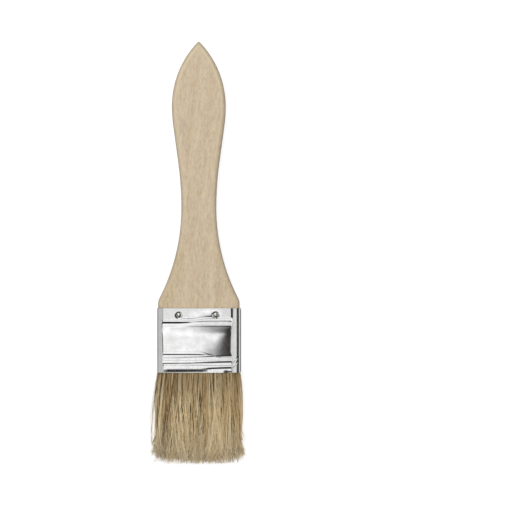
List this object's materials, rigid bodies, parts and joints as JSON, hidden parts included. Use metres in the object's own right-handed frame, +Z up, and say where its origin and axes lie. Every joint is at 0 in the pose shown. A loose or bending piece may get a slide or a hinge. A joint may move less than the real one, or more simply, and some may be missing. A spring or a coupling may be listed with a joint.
{
  "type": "flat pastry brush",
  "caption": "Flat pastry brush with a waisted wooden paddle handle, a ribbed tinplate ferrule nailed on, and a bank of natural bristles.",
  "frame": {"origin": "on the table, under the middle of the whole brush, which lies on its back", "axes": "+X across the brush towards the ferrule's lock seam, +Y towards the tip of the handle, +Z up, out of the brush's front"},
  "size_m": [0.0448, 0.212, 0.0104],
  "materials": {
    "handle_wood": "raw, finely sanded beech, unvarnished",
    "tinplate": "bright pressed tinplate, softly wavy",
    "nail_steel": "bright drawn steel",
    "setting_resin": "set amber resin",
    "filler_wood": "raw sawn softwood",
    "bristle": "natural blond hog bristle, paler split tips"
  },
  "bodies": {
    "root": {"handle": "handle_wood", "ferrule": "tinplate", "nail_front_left": "nail_steel", "nail_front_right": "nail_steel", "nail_back_left": "nail_steel", "nail_back_right": "nail_steel", "resin_plug": "setting_resin", "filler_strip": "filler_wood", "bristles_front": "bristle", "bristles_back": "bristle"}
  },
  "joints": []
}
